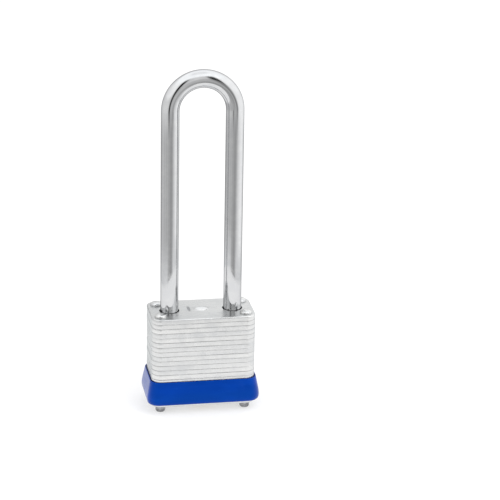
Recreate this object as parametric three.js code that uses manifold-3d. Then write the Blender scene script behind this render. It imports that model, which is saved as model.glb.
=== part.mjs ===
// A small laminated padlock with an extra-long shackle.
//
// Nineteen pressed steel plates are stacked on four rivets. A plastic bumper goes round the
// foot of the stack. A brass pin-tumbler cylinder stands in the plates, its keyway facing down,
// and its cam spreads two locking levers that hold the shackle by a notch in each leg.
//
// Units are millimetres, +Z is up, the front of the case faces -Y and the origin is on the
// ground, under the middle of the case. The lock is stored closed, with its plug turned to the
// open position: the levers are drawn back, and every pin stands at the shear line.

import * as THREE from "three";
import { mergeVertices } from "three/addons/utils/BufferGeometryUtils.js";
import Module from "manifold-3d";

const wasm = await Module();
wasm.setup();

// ---------------------------------------------------------------- driving dimensions

const CASE = { width: 29.0, depth: 15.2, corner: 2.8 };
const PLATE = { count: 19, pitch: 1.365, foot: 2.2 };
const RIVET = { x: 11.9, y: 4.64, shank: 1.15, head: 1.7, headHeight: 1.0, foot: 1.4, sides: 10 };
const SHACKLE = { radius: 2.5, spacing: 17.7, clearance: 63.5, travel: 10.5, sides: 20, bendSteps: 24 };
const BUMPER = { bottom: 3.0, top: 9.65, gap: 0.12 };
const PLUG = { y: -1.2, radius: 3.4, nose: 3.0, bottom: 2.35, top: 19.7, sides: 24 };
const SHELL = { radius: 4.7, bore: 3.6, bibleWidth: 3.9, bibleBack: 6.5, sides: 24 };
const KEYWAY = { width: 1.8, front: -2.7, back: 1.5, top: 17.6 };
const PIN = { radius: 0.82, chamber: 0.95, pitch: 3.2, lowest: 5.9, sides: 8 };
const KEY_PIN_LENGTHS = [2.2, 3.0, 2.6, 3.2];
const DRIVER_LENGTH = 1.5;
const LEVER = { pivotX: 4.6, pivotY: 4.5, eye: 1.6, pin: 0.8, noseReach: 6.05, noseHalf: 1.1 };
const CAM = { halfLength: 3.0, halfWidth: 1.7, collar: 2.3, gapToArm: 0.35 };
const NOTCH_FACE = 7.45; // distance of each notch's flat from the middle of the case

const RUNNING_GAP = 0.25; // round the shackle's legs
const FIT_GAP = 0.15; // round pieces that sit still in the plates

// Levels, counted in plates from the bottom. Plate 0 is the bottom plate and plate 18 the top one.
const level = (plates) => PLATE.foot + plates * PLATE.pitch;
const CASE_TOP = level(PLATE.count);
const STOP_PLATE = 13;
const LEVER_PLATES = [14, 15];
const PIVOT_CAP_PLATE = 16;
const TOE_FLOOR_PLATE = 12;

const HALF_TURN = Math.PI;
const QUARTER_TURN = Math.PI / 2;

// ---------------------------------------------------------------- materials

const material = (color, roughness, metalness) =>
  new THREE.MeshStandardMaterial({ color, roughness, metalness });
const ZINC_STEEL = material(0xd6d8d6, 0.38, 1.0);
const RIVET_STEEL = material(0xbfc2c2, 0.35, 1.0);
const CHROME = material(0xe2e4e6, 0.08, 1.0);
const BLUE_PLASTIC = material(0x0b3fae, 0.32, 0.0);
const BRASS = material(0xc9a558, 0.3, 1.0);
const SPRING_STEEL = material(0x9a9da0, 0.3, 1.0);
const LEVER_STEEL = material(0x8d9093, 0.45, 1.0);

// ---------------------------------------------------------------- solids

// A closed three.js geometry as a solid that can be joined and cut.
function solid(geometry) {
  geometry.deleteAttribute("normal");
  geometry.deleteAttribute("uv");
  const merged = mergeVertices(geometry, 1e-4);
  const mesh = new wasm.Mesh({
    numProp: 3,
    vertProperties: merged.attributes.position.array,
    triVerts: new Uint32Array(merged.index.array),
  });
  return new wasm.Manifold(mesh);
}

function geometryOf(made) {
  const { vertProperties, triVerts } = made.getMesh();
  return new THREE.BufferGeometry()
    .setAttribute("position", new THREE.BufferAttribute(vertProperties, 3))
    .setIndex(new THREE.BufferAttribute(triVerts, 1));
}

// An upright round bar, from height `low` to height `high`.
function rod(radius, low, high, x = 0, y = 0, sides = 16) {
  const geometry = new THREE.CylinderGeometry(radius, radius, high - low, sides)
    .rotateX(QUARTER_TURN)
    .translate(x, y, (low + high) / 2);
  return solid(geometry);
}

// A round bar that lies along Y.
function crossRod(radius, front, back, x, z, sides) {
  const geometry = new THREE.CylinderGeometry(radius, radius, back - front, sides)
    .translate(x, (front + back) / 2, z);
  return solid(geometry);
}

function block([x0, x1], [y0, y1], [z0, z1]) {
  const geometry = new THREE.BoxGeometry(x1 - x0, y1 - y0, z1 - z0)
    .translate((x0 + x1) / 2, (y0 + y1) / 2, (z0 + z1) / 2);
  return solid(geometry);
}

function prism(shape, low, high, curveSegments = 3) {
  const options = { depth: high - low, bevelEnabled: false, curveSegments };
  return solid(new THREE.ExtrudeGeometry(shape, options).translate(0, 0, low));
}

function roundedRectangle(width, depth, radius) {
  const x = width / 2 - radius;
  const y = depth / 2 - radius;
  return new THREE.Shape()
    .absarc(x, -y, radius, -QUARTER_TURN, 0)
    .absarc(x, y, radius, 0, QUARTER_TURN)
    .absarc(-x, y, radius, QUARTER_TURN, HALF_TURN)
    .absarc(-x, -y, radius, HALF_TURN, HALF_TURN + QUARTER_TURN);
}

// The case's outline, pushed outwards by `offset`.
const caseOutline = (offset = 0) =>
  roundedRectangle(CASE.width + 2 * offset, CASE.depth + 2 * offset, CASE.corner + offset);

// A closed skin over outlines that have the same number of points, listed from the lowest up.
function loft(sections, curveSegments = 3) {
  const rings = sections.map(({ shape, z }) =>
    shape.getPoints(curveSegments).slice(0, -1).map((p) => new THREE.Vector3(p.x, p.y, z)));
  const count = rings[0].length;
  const faces = [];
  for (let ring = 0; ring + 1 < rings.length; ring++) {
    for (let i = 0; i < count; i++) {
      const [a, b] = [ring * count + i, ring * count + ((i + 1) % count)];
      faces.push(a, b, b + count, a, b + count, a + count);
    }
  }
  const cap = THREE.ShapeUtils.triangulateShape(rings[0].map((p) => new THREE.Vector2(p.x, p.y)), []);
  const topRing = (rings.length - 1) * count;
  for (const [a, b, c] of cap) {
    faces.push(c, b, a);
    faces.push(topRing + a, topRing + b, topRing + c);
  }
  const geometry = new THREE.BufferGeometry().setFromPoints(rings.flat()).setIndex(faces);
  return solid(geometry);
}

// A solid of revolution about an upright axis, from a profile of [radius, height] points.
function turned(profile, sides) {
  const points = profile.map(([r, z]) => new THREE.Vector2(r, z));
  return solid(new THREE.LatheGeometry(points, sides).rotateX(QUARTER_TURN));
}

class Helix extends THREE.Curve {
  constructor(radius, length, turns) {
    super();
    Object.assign(this, { radius, length, turns });
  }
  getPoint(t) {
    const angle = t * this.turns * 2 * HALF_TURN;
    const [x, y] = [this.radius * Math.cos(angle), this.radius * Math.sin(angle)];
    return new THREE.Vector3(x, y, t * this.length);
  }
}

// A coil spring from the origin up +Z. `radius` is to the middle of the wire.
function coilSpring({ radius, wire, length, turns, stepsPerTurn = 9, wireCurve = 2 }) {
  const section = new THREE.Shape().absarc(0, 0, wire, 0, 2 * HALF_TURN);
  const extrudePath = new Helix(radius, length - 2 * wire, turns);
  const steps = Math.round(turns * stepsPerTurn);
  const geometry = new THREE.ExtrudeGeometry(section, { steps, extrudePath, curveSegments: wireCurve });
  return geometry.translate(0, 0, wire);
}

// ---------------------------------------------------------------- assembly helpers

const padlock = new THREE.Group();

function place(name, made, surface, parent = padlock) {
  const mesh = new THREE.Mesh(made.isBufferGeometry ? made : geometryOf(made), surface);
  mesh.name = name;
  parent.add(mesh);
  return mesh;
}

const corners = [
  ["front_left", -1, -1],
  ["front_right", 1, -1],
  ["rear_left", -1, 1],
  ["rear_right", 1, 1],
];

// ---------------------------------------------------------------- case plates

const HEEL_X = -SHACKLE.spacing / 2;
const TOE_X = SHACKLE.spacing / 2;
const LEG_HOLE = SHACKLE.radius + RUNNING_GAP;
const CLIP_RADIUS = 3.0;

// The cylinder's keyhole-shaped outline: a round barrel with a square back that holds the pins.
function cylinderOutline(gap, low, high) {
  const half = SHELL.bibleWidth / 2 + gap;
  return rod(SHELL.radius + gap, low, high, 0, PLUG.y, SHELL.sides)
    .add(block([-half, half], [PLUG.y, SHELL.bibleBack + gap], [low, high]));
}

// What is cut out of the plate at `index`, apart from the rivet holes.
function cutouts(index, low, high) {
  const hole = (radius, x, y = 0, sides = SHACKLE.sides) => rod(radius, low, high, x, y, sides);
  if (index === 0) return [hole(PLUG.nose + FIT_GAP, 0, PLUG.y, PLUG.sides)];
  if (index < STOP_PLATE) {
    const cuts = [cylinderOutline(FIT_GAP, low, high), hole(CLIP_RADIUS + FIT_GAP, HEEL_X)];
    return index === TOE_FLOOR_PLATE ? [...cuts, hole(LEG_HOLE, TOE_X)] : cuts;
  }
  const legs = [hole(LEG_HOLE, HEEL_X), hole(LEG_HOLE, TOE_X)];
  const pivots = [1, -1].map((side) =>
    hole(LEVER.pin + FIT_GAP, side * LEVER.pivotX, -side * LEVER.pivotY, RIVET.sides));
  if (index === STOP_PLATE) return [...legs, ...pivots, hole(CAM.collar + FIT_GAP, 0, PLUG.y)];
  if (LEVER_PLATES.includes(index)) {
    return [...legs, prism(roundedRectangle(14.6, 12.7, 1.5), low, high, 2)];
  }
  if (index === PIVOT_CAP_PLATE) return [...legs, ...pivots];
  return legs;
}

// The top plate's upper edge is eased, and a plain oval is pressed up in its middle.
function topPlateBlank(low, high) {
  const ease = 0.3;
  const sections = [
    { shape: caseOutline(), z: low },
    { shape: caseOutline(), z: high - ease },
    { shape: caseOutline(-ease), z: high },
  ];
  const oval = (width, depth) =>
    new THREE.Shape().absellipse(0, 0, width / 2, depth / 2, 0, 2 * HALF_TURN);
  const boss = loft([
    { shape: oval(4.5, 3.2), z: high - ease },
    { shape: oval(4.5, 3.2), z: high },
    { shape: oval(3.5, 2.2), z: high + 0.25 },
  ], 10);
  return loft(sections).add(boss);
}

function casePlate(index) {
  const [low, high] = [level(index), level(index + 1)];
  const isTop = index === PLATE.count - 1;
  let plate = isTop ? topPlateBlank(low, high) : prism(caseOutline(), low, high);
  const [under, over] = [low - 1, high + 1];
  const rivetHole = (x, y) =>
    rod(RIVET.shank + FIT_GAP, under, over, x * RIVET.x, y * RIVET.y, RIVET.sides);
  for (const [, x, y] of corners) plate = plate.subtract(rivetHole(x, y));
  for (const cut of cutouts(index, under, over)) plate = plate.subtract(cut);
  return plate;
}

for (let index = 0; index < PLATE.count; index++) {
  const middleName = `plate_${String(index + 1).padStart(2, "0")}`;
  const name = { 0: "bottom_plate", [PLATE.count - 1]: "top_plate" }[index] ?? middleName;
  place(name, casePlate(index), ZINC_STEEL);
}

// ---------------------------------------------------------------- rivets

// A shank through every plate, a low domed head on top and a peened foot underneath.
const rivetProfile = [
  [0, 0],
  [1.0, 0],
  [1.3, 0.25],
  [RIVET.foot, 0.65],
  [RIVET.foot, PLATE.foot],
  [RIVET.shank, PLATE.foot],
  [RIVET.shank, CASE_TOP],
  [RIVET.head, CASE_TOP],
  [RIVET.head * 0.9, CASE_TOP + RIVET.headHeight * 0.55],
  [RIVET.head * 0.5, CASE_TOP + RIVET.headHeight * 0.93],
  [0, CASE_TOP + RIVET.headHeight],
];

for (const [corner, x, y] of corners) {
  const rivet = place(`rivet_${corner}`, turned(rivetProfile, RIVET.sides), RIVET_STEEL);
  rivet.position.set(x * RIVET.x, y * RIVET.y, 0);
}

// ---------------------------------------------------------------- bumper

// A skirt round the lowest plates: nearly flush at its upper lip, fuller below, and rolled in at
// the foot. Its corners are a little tighter than a plain offset of the case.
const bumperSkin = [
  { offset: 0.7, z: BUMPER.bottom },
  { offset: 1.15, z: BUMPER.bottom + 0.35 },
  { offset: 1.3, z: BUMPER.bottom + 1.2 },
  { offset: 1.1, z: BUMPER.bottom + 3.2 },
  { offset: 0.5, z: BUMPER.top - 0.35 },
  { offset: 0.35, z: BUMPER.top },
];
const bumperOutline = (offset) =>
  roundedRectangle(CASE.width + 2 * offset, CASE.depth + 2 * offset, CASE.corner + 0.3 * offset);

const bumper = loft(bumperSkin.map(({ offset, z }) => ({ shape: bumperOutline(offset), z })))
  .subtract(prism(caseOutline(BUMPER.gap), 0, CASE_TOP));
place("bumper", bumper, BLUE_PLASTIC);

// ---------------------------------------------------------------- shackle

const LEVER_FLOOR = level(LEVER_PLATES[0]);
const LEVER_ROOF = level(PIVOT_CAP_PLATE);
const TOE_END = level(TOE_FLOOR_PLATE) + 0.25;
const CLIP_TOP = level(STOP_PLATE) - SHACKLE.travel - 0.1;
const CLIP_THICKNESS = 0.8;
const CLIP_GROOVE = 1.65;
const HEEL_END = CLIP_TOP - CLIP_THICKNESS - 0.7;
const BEND_BASE = CASE_TOP + SHACKLE.clearance + SHACKLE.radius - SHACKLE.spacing / 2;

// Up the heel leg in one step, round the bow in many, and down the toe leg in one step.
class ShacklePath extends THREE.Curve {
  getPoint(t) {
    const step = t * (SHACKLE.bendSteps + 2);
    const bow = HALF_TURN - (HALF_TURN * (step - 1)) / SHACKLE.bendSteps;
    const { lerp } = THREE.MathUtils;
    if (step < 1) return new THREE.Vector3(HEEL_X, 0, lerp(HEEL_END, BEND_BASE, step));
    if (bow >= -1e-9) {
      return new THREE.Vector3(TOE_X * Math.cos(bow), 0, BEND_BASE + TOE_X * Math.sin(bow));
    }
    return new THREE.Vector3(TOE_X, 0, lerp(BEND_BASE, TOE_END, step - 1 - SHACKLE.bendSteps));
  }
  getTangent(t) {
    const step = t * (SHACKLE.bendSteps + 2);
    const bow = HALF_TURN - (HALF_TURN * (step - 1)) / SHACKLE.bendSteps;
    const angle = THREE.MathUtils.clamp(bow, 0, HALF_TURN);
    return new THREE.Vector3(Math.sin(angle), 0, -Math.cos(angle));
  }
  getPointAt(t) {
    return this.getPoint(t);
  }
  getTangentAt(t) {
    return this.getTangent(t);
  }
}

// What is turned off the heel leg between two heights, leaving a neck of `radius`.
const neck = (radius, low, high) =>
  rod(SHACKLE.radius + 1, low, high, HEEL_X).subtract(rod(radius, low - 1, high + 1, HEEL_X));

function shackle() {
  const section = new THREE.Shape().absarc(0, 0, SHACKLE.radius, 0, 2 * HALF_TURN);
  const bar = new THREE.ExtrudeGeometry(section, {
    steps: SHACKLE.bendSteps + 2,
    extrudePath: new ShacklePath(),
    curveSegments: SHACKLE.sides / 2,
  });
  const notchHeights = [LEVER_FLOOR - 0.1, LEVER_ROOF + 0.1];
  const notchDepth = [-SHACKLE.radius - 1, SHACKLE.radius + 1];
  const openNeckLow = LEVER_FLOOR - SHACKLE.travel - 0.1;
  const openNeckHigh = LEVER_ROOF - SHACKLE.travel + 0.1;
  return solid(bar)
    .subtract(block([-NOTCH_FACE, NOTCH_FACE], notchDepth, notchHeights))
    .subtract(neck(1.4, openNeckLow, openNeckHigh))
    .subtract(neck(CLIP_GROOVE, CLIP_TOP - CLIP_THICKNESS - 0.1, CLIP_TOP + 0.1));
}

place("shackle", shackle(), CHROME);

const clipHeights = [CLIP_TOP - CLIP_THICKNESS, CLIP_TOP];
const shackleClip = rod(CLIP_RADIUS, ...clipHeights, HEEL_X)
  .subtract(rod(CLIP_GROOVE + 0.15, 0, CASE_TOP, HEEL_X))
  .subtract(block([HEEL_X, HEEL_X + 4], [-1.2, 1.2], [0, CASE_TOP]));
place("shackle_clip", shackleClip, SPRING_STEEL);

const heelSpring = coilSpring({
  radius: 1.9, wire: 0.22, length: HEEL_END - level(1) - 0.1, turns: 6, stepsPerTurn: 12,
});
place("shackle_spring", heelSpring, SPRING_STEEL).position.set(HEEL_X, 0, level(1) + 0.05);

// ---------------------------------------------------------------- cylinder shell and drivers

const SHELL_LOW = level(1) + 0.05;
const SHELL_HIGH = level(STOP_PLATE) - 0.05;
const COVER = { halfWidth: 1.45, thickness: 0.4 };
const pinHeights = KEY_PIN_LENGTHS.map((_, i) => PIN.lowest + i * PIN.pitch);
const SHEAR_LINE = PLUG.y + SHELL.bore;
const DRIVER_BACK = SHEAR_LINE + DRIVER_LENGTH;
const CHAMBER_BACK = SHELL.bibleBack - COVER.thickness;

function cylinderShell() {
  const slotWidth = [-COVER.halfWidth - 0.1, COVER.halfWidth + 0.1];
  let shell = cylinderOutline(0, SHELL_LOW, SHELL_HIGH)
    .subtract(rod(SHELL.bore, 0, CASE_TOP, 0, PLUG.y, SHELL.sides))
    .subtract(block(slotWidth, [CHAMBER_BACK, SHELL.bibleBack + 1], [0, CASE_TOP]));
  for (const z of pinHeights) {
    shell = shell.subtract(crossRod(PIN.chamber, PLUG.y, SHELL.bibleBack, 0, z, PIN.sides));
  }
  return shell;
}

place("cylinder_shell", cylinderShell(), BRASS);

const chamberCover = block([-COVER.halfWidth, COVER.halfWidth], [CHAMBER_BACK + 0.05, SHELL.bibleBack],
  [SHELL_LOW, SHELL_HIGH]);
place("chamber_cover", chamberCover, BRASS);

pinHeights.forEach((z, i) => {
  const driver = crossRod(PIN.radius, SHEAR_LINE, DRIVER_BACK, 0, z, PIN.sides);
  place(`driver_pin_${i + 1}`, driver, BRASS);
  const spring = coilSpring({
    radius: 0.62, wire: 0.12, length: CHAMBER_BACK - DRIVER_BACK - 0.1, turns: 4, stepsPerTurn: 8,
  });
  const placed = place(`pin_spring_${i + 1}`, spring, SPRING_STEEL);
  placed.rotation.x = -QUARTER_TURN;
  placed.position.set(0, DRIVER_BACK + 0.05, z);
});

// ---------------------------------------------------------------- plug, cam and key pins

// Everything in this group turns with the key. It is drawn in the locked position, with the pins
// pointing to the back, and the group is turned to the open position.
const turning = new THREE.Group();
turning.position.y = PLUG.y;
turning.rotation.z = QUARTER_TURN;
padlock.add(turning);

const CHAMBER_FLOOR = -0.8;
const TANG = { halfLength: 1.5, halfWidth: 0.7, depth: 1.3 };

// The keyway is a slot with a ward standing in from each side.
function keyway() {
  const { width, front, back, top } = KEYWAY;
  const [half, ward] = [width / 2, width / 4];
  const outline = new THREE.Shape([
    [-half, front], [half, front], [half, front + 0.9], [half - ward, front + 1.1],
    [half - ward, front + 1.7], [half, front + 1.9], [half, back], [-half, back],
    [-half, back - 0.7], [ward - half, back - 0.9], [ward - half, back - 1.4], [-half, back - 1.6],
  ].map(([x, y]) => new THREE.Vector2(x, y)));
  return prism(outline, 0, top);
}

function plug() {
  let body = rod(PLUG.radius, level(1) + 0.1, PLUG.top, 0, 0, PLUG.sides)
    .add(rod(PLUG.nose, PLUG.bottom, level(1) + 0.2, 0, 0, PLUG.sides))
    .subtract(keyway());
  for (const z of pinHeights) {
    body = body.subtract(crossRod(PIN.chamber, CHAMBER_FLOOR, PLUG.radius + 1, 0, z, PIN.sides));
  }
  const { halfLength, halfWidth, depth } = TANG;
  const socket = block([-halfLength - 0.1, halfLength + 0.1], [-halfWidth - 0.1, halfWidth + 0.1],
    [PLUG.top - depth - 0.1, PLUG.top + 1]);
  return body.subtract(socket);
}

place("plug", plug(), BRASS, turning);

// A tang that sits in the plug, a round collar through the stop plate, and an oval head.
function cam() {
  const { halfLength, halfWidth, depth } = TANG;
  const straight = CAM.halfLength - CAM.halfWidth;
  const head = new THREE.Shape()
    .absarc(straight, 0, CAM.halfWidth, -QUARTER_TURN, QUARTER_TURN)
    .absarc(-straight, 0, CAM.halfWidth, QUARTER_TURN, HALF_TURN + QUARTER_TURN);
  return block([-halfLength, halfLength], [-halfWidth, halfWidth], [PLUG.top - depth, PLUG.top + 0.5])
    .add(rod(CAM.collar, PLUG.top + 0.05, LEVER_FLOOR + 0.15))
    .add(prism(head, LEVER_FLOOR + 0.05, LEVER_ROOF - 0.2, 5));
}

place("plug_cam", cam(), BRASS, turning);

KEY_PIN_LENGTHS.forEach((length, i) => {
  const outer = PLUG.radius - 0.1;
  const point = 0.45;
  const barrel = crossRod(PIN.radius, outer - length + point, outer, 0, pinHeights[i], PIN.sides);
  const tip = solid(new THREE.CylinderGeometry(PIN.radius, PIN.radius * 0.35, point, PIN.sides)
    .translate(0, outer - length + point / 2, pinHeights[i]));
  place(`key_pin_${i + 1}`, barrel.add(tip), BRASS, turning);
});

// ---------------------------------------------------------------- locking levers

const LEVER_HEIGHTS = [LEVER_FLOOR + 0.35, LEVER_ROOF - 0.2];
const ARM_TIP = 0.6;
const FRONT_ARM_FACE = PLUG.y - CAM.halfLength - CAM.gapToArm;
const REAR_ARM_FACE = PLUG.y + CAM.halfLength + CAM.gapToArm;
const SPRING_SEAT = 3.5;
const REAR_ARM_BACK = REAR_ARM_FACE + 1.75;

// The eye and the nose, in the front lever's place: pivot at the front right, nose to the right.
function eyeAndNose(top) {
  const { pivotX, pivotY, eye, noseReach, noseHalf } = LEVER;
  const shank = new THREE.Shape([
    [SPRING_SEAT, -pivotY], [pivotX + 1.0, -pivotY], [pivotX + 1.0, -noseHalf - 0.5],
    [noseReach, -noseHalf], [noseReach, noseHalf], [5.2, noseHalf + 0.8], [5.2, top],
    [SPRING_SEAT, top],
  ].map(([x, y]) => new THREE.Vector2(x, y)));
  return rod(eye, ...LEVER_HEIGHTS, pivotX, -pivotY).add(prism(shank, ...LEVER_HEIGHTS));
}

const pivotHole = (side) =>
  rod(LEVER.pin + FIT_GAP, 0, CASE_TOP, side * LEVER.pivotX, -side * LEVER.pivotY, RIVET.sides);

// The front lever holds the toe leg. Its arm passes in front of the cam, and the spring pushes on
// the far end of its nose.
const frontLever = eyeAndNose(4.0)
  .add(block([-ARM_TIP, LEVER.pivotX], [-LEVER.pivotY - LEVER.eye, FRONT_ARM_FACE], LEVER_HEIGHTS))
  .subtract(pivotHole(1));
place("front_lever", frontLever, LEVER_STEEL);

// The rear lever holds the heel leg. Its arm passes behind the cam, and takes the spring's other end.
const rearLever = eyeAndNose(LEVER.noseHalf + 0.8)
  .rotate([0, 0, 180])
  .add(block([-LEVER.pivotX - 1, ARM_TIP], [REAR_ARM_FACE, REAR_ARM_BACK], LEVER_HEIGHTS))
  .subtract(pivotHole(-1));
place("rear_lever", rearLever, LEVER_STEEL);

for (const [name, side] of [["front_lever_pivot", 1], ["rear_lever_pivot", -1]]) {
  const pin = rod(LEVER.pin, level(STOP_PLATE) + 0.1, level(PIVOT_CAP_PLATE + 1) - 0.1,
    side * LEVER.pivotX, -side * LEVER.pivotY, RIVET.sides);
  place(name, pin, SPRING_STEEL);
}

const leverSpring = coilSpring({
  radius: 0.62, wire: 0.13, length: SPRING_SEAT - ARM_TIP - 0.1, turns: 4, stepsPerTurn: 8,
});
const placedLeverSpring = place("lever_spring", leverSpring, SPRING_STEEL);
placedLeverSpring.rotation.y = QUARTER_TURN;
placedLeverSpring.position.set(
  ARM_TIP + 0.05,
  (REAR_ARM_FACE + REAR_ARM_BACK) / 2,
  (LEVER_FLOOR + LEVER_ROOF) / 2,
);

export default padlock;
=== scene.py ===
import math
import random

import bmesh
import bpy
from mathutils import Matrix, Vector, noise
from mathutils.geometry import tessellate_polygon


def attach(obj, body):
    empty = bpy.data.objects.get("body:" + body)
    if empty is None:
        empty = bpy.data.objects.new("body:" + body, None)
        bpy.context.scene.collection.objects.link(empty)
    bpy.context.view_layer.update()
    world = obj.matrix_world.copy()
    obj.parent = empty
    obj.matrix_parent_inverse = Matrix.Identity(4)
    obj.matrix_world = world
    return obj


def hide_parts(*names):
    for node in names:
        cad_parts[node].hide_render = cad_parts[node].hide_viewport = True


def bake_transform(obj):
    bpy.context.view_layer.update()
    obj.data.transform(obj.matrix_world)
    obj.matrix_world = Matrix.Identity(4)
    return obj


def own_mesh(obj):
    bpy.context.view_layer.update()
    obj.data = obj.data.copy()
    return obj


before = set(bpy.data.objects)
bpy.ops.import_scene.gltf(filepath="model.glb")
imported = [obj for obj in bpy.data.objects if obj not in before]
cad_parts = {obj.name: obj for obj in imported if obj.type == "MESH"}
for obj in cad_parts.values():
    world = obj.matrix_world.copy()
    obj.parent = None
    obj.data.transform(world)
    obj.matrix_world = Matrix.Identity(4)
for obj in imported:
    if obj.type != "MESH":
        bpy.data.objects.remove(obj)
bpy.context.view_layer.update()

random.seed(11)
MM = 0.001
TAU = 2 * math.pi

# ------------------------------------------------------------------ sizes, in millimetres

# +Z is up along the shackle's legs, +X is towards the toe leg and -Y is the front of the case.
WIDTH, DEPTH, CORNER = 29.0, 15.2, 2.8
PLATES, PITCH, FOOT = 19, 1.365, 2.2  # the plates, their thickness, and the rivets' feet below them


def level(plates):
    """The height of the top of so many plates, counted from the bottom."""
    return FOOT + plates * PITCH


CASE_TOP = level(PLATES)
BOSS, MARK = (0.1, 0.0), (-3.38, 0.55)  # the raised oval and the stamped line on the top plate
CORNERS = [("front_left", -1, -1), ("front_right", 1, -1), ("rear_left", -1, 1), ("rear_right", 1, 1)]
RIVET_X, RIVET_Y, RIVET_HOLE = 11.9, 4.64, 1.3
RIVET_HEAD, RIVET_RISE = 1.7, 1.0
BUMPER_LOW, BUMPER_HIGH = 3.0, 9.65

# ROD is the rod's radius, SPACING the distance between the legs' middles, CLEARANCE the height
# inside the closed shackle and TRAVEL how far the shackle lifts.
ROD, SPACING, CLEARANCE, TRAVEL = 2.5, 17.7, 63.5, 10.5
HEEL_X, TOE_X = -SPACING / 2, SPACING / 2
BEND_BASE = CASE_TOP + CLEARANCE + ROD - SPACING / 2
LEG_HOLE, CLIP_HOLE = 2.75, 3.15  # radii

# Plates with cut-outs of their own, by number from the bottom plate, which is 0.
TOE_FLOOR, STOP, PIVOT_CAP = 12, 13, 16
LEVER_ROOM = (14, 15)
LEVER_FLOOR, LEVER_ROOF = level(LEVER_ROOM[0]), level(LEVER_ROOM[-1] + 1)
PIVOT_X, PIVOT_Y, PIVOT_PIN = 4.6, 4.5, 0.8
PIVOT_HOLE, NOSE_HOLE, CAM_HOLE = 0.95, 3.15, 2.45  # radii

TOE_END = level(TOE_FLOOR) + 0.25
CLIP_THICK = 0.8
CLIP_TOP = level(STOP) - TRAVEL - 0.1
HEEL_END = CLIP_TOP - CLIP_THICK - 0.7

PLUG_Y, PLUG_RADIUS, PLUG_TOP = -1.2, 3.4, 19.7
SHELL_LOW, SHELL_HIGH = level(1) + 0.05, level(STOP) - 0.05
PIN_Z = [5.9 + 3.2 * i for i in range(4)]
PIN_LENGTHS = [2.2, 3.0, 2.6, 3.2]
SHEAR = PLUG_Y + 3.6
DRIVER_LENGTH, DRIVER_TRAVEL = 1.5, 1.1
DRIVER_BACK = SHEAR + DRIVER_LENGTH
CHAMBER, CHAMBER_BACK = 0.95, 6.1
ARM_Y = PLUG_Y + 3.35 + 1.75 / 2  # the middle of the rear lever's arm

# ------------------------------------------------------------------ outlines


def arc(cx, cy, r, start, end, n):
    """Points on an arc, angles in degrees, both ends included."""
    points = []
    for i in range(n + 1):
        a = math.radians(start + (end - start) * i / n)
        points.append((cx + r * math.cos(a), cy + r * math.sin(a)))
    return points


def circle(x, y, r, n=48):
    return [(x + r * math.cos(TAU * i / n), y + r * math.sin(TAU * i / n)) for i in range(n)]


def ellipse(x, y, rx, ry, n=56, turn=0.0):
    c, s = math.cos(math.radians(turn)), math.sin(math.radians(turn))
    points = []
    for i in range(n):
        u, v = rx * math.cos(TAU * i / n), ry * math.sin(TAU * i / n)
        points.append((x + u * c - v * s, y + u * s + v * c))
    return points


def rounded_rect(w, d, r, n=10, straight=1):
    """Corner arcs, with each side between them cut into `straight` pieces."""
    x, y = w / 2 - r, d / 2 - r
    centres = [(x, -y, -90), (x, y, 0), (-x, y, 90), (-x, -y, 180)]
    runs = [arc(cx, cy, r, start, start + 90, n) for cx, cy, start in centres]
    points = []
    for k, run in enumerate(runs):
        points += run
        a, b = run[-1], runs[(k + 1) % 4][0]
        for i in range(1, straight):
            points.append((a[0] + (b[0] - a[0]) * i / straight, a[1] + (b[1] - a[1]) * i / straight))
    return points


def case_outline(offset, n=12, straight=1):
    corner = max(CORNER + offset, 0.2)
    return rounded_rect(WIDTH + 2 * offset, DEPTH + 2 * offset, corner, n, straight)


def keyhole(grow, n=40):
    """The cylinder's outline: a round barrel with a square back."""
    r, half, back = 4.85 + grow, 2.1 + grow, 6.65 + grow
    up = math.degrees(math.atan2(math.sqrt(r * r - half * half), half))
    return arc(0, PLUG_Y, r, up, -up - 180, n) + [(-half, back), (half, back)]


def lever_room(grow):
    """The lever room with the two leg holes opening into its ends."""
    w, d, r = 7.3 + grow, 6.35 + grow, 1.5 + grow
    leg = LEG_HOLE + grow
    dx = TOE_X - w
    rise = math.sqrt(max(leg * leg - dx * dx, 0.01))
    turn = math.degrees(math.atan2(rise, -dx))
    right = arc(TOE_X, 0, leg, -turn, turn, 40)
    left = arc(HEEL_X, 0, leg, 180 - turn, 180 + turn, 40)
    rear = arc(w - r, d - r, r, 0, 90, 6) + arc(-w + r, d - r, r, 90, 180, 6)
    front = arc(-w + r, -d + r, r, 180, 270, 6) + arc(w - r, -d + r, r, 270, 360, 6)
    return right + rear + left + front


def edge_profile(low, high, r_low, r_high, n=4):
    """(inset, z) from the bottom face's edge to the top face's edge."""
    steps = [math.pi / 2 * i / n for i in range(n + 1)]
    rise = [(r_low * (1 - math.sin(a)), low + r_low * (1 - math.cos(a))) for a in steps]
    return rise + [(r_high * (1 - math.cos(a)), high - r_high * (1 - math.sin(a))) for a in steps]


# ------------------------------------------------------------------ mesh helpers


def make_object(name, verts, faces, mat, sharp=35.0, weighted=True):
    """A new object from points in millimetres."""
    mesh = bpy.data.meshes.new(name)
    mesh.from_pydata([tuple(c * MM for c in v) for v in verts], [], faces)
    bm = bmesh.new()
    bm.from_mesh(mesh)
    bmesh.ops.remove_doubles(bm, verts=bm.verts, dist=1e-7)
    bmesh.ops.recalc_face_normals(bm, faces=bm.faces)
    bm.to_mesh(mesh)
    bm.free()
    obj = bpy.data.objects.new(name, mesh)
    bpy.context.scene.collection.objects.link(obj)
    finish_shading(obj, sharp, weighted)
    if mat:
        mesh.materials.append(mat)
    return obj


def finish_shading(obj, sharp=35.0, weighted=True):
    obj.data.shade_smooth()
    obj.data.set_sharp_from_angle(angle=math.radians(sharp))
    if weighted and "wn" not in obj.modifiers:
        mod = obj.modifiers.new("wn", "WEIGHTED_NORMAL")
        mod.keep_sharp = True
        mod.weight = 60


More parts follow.
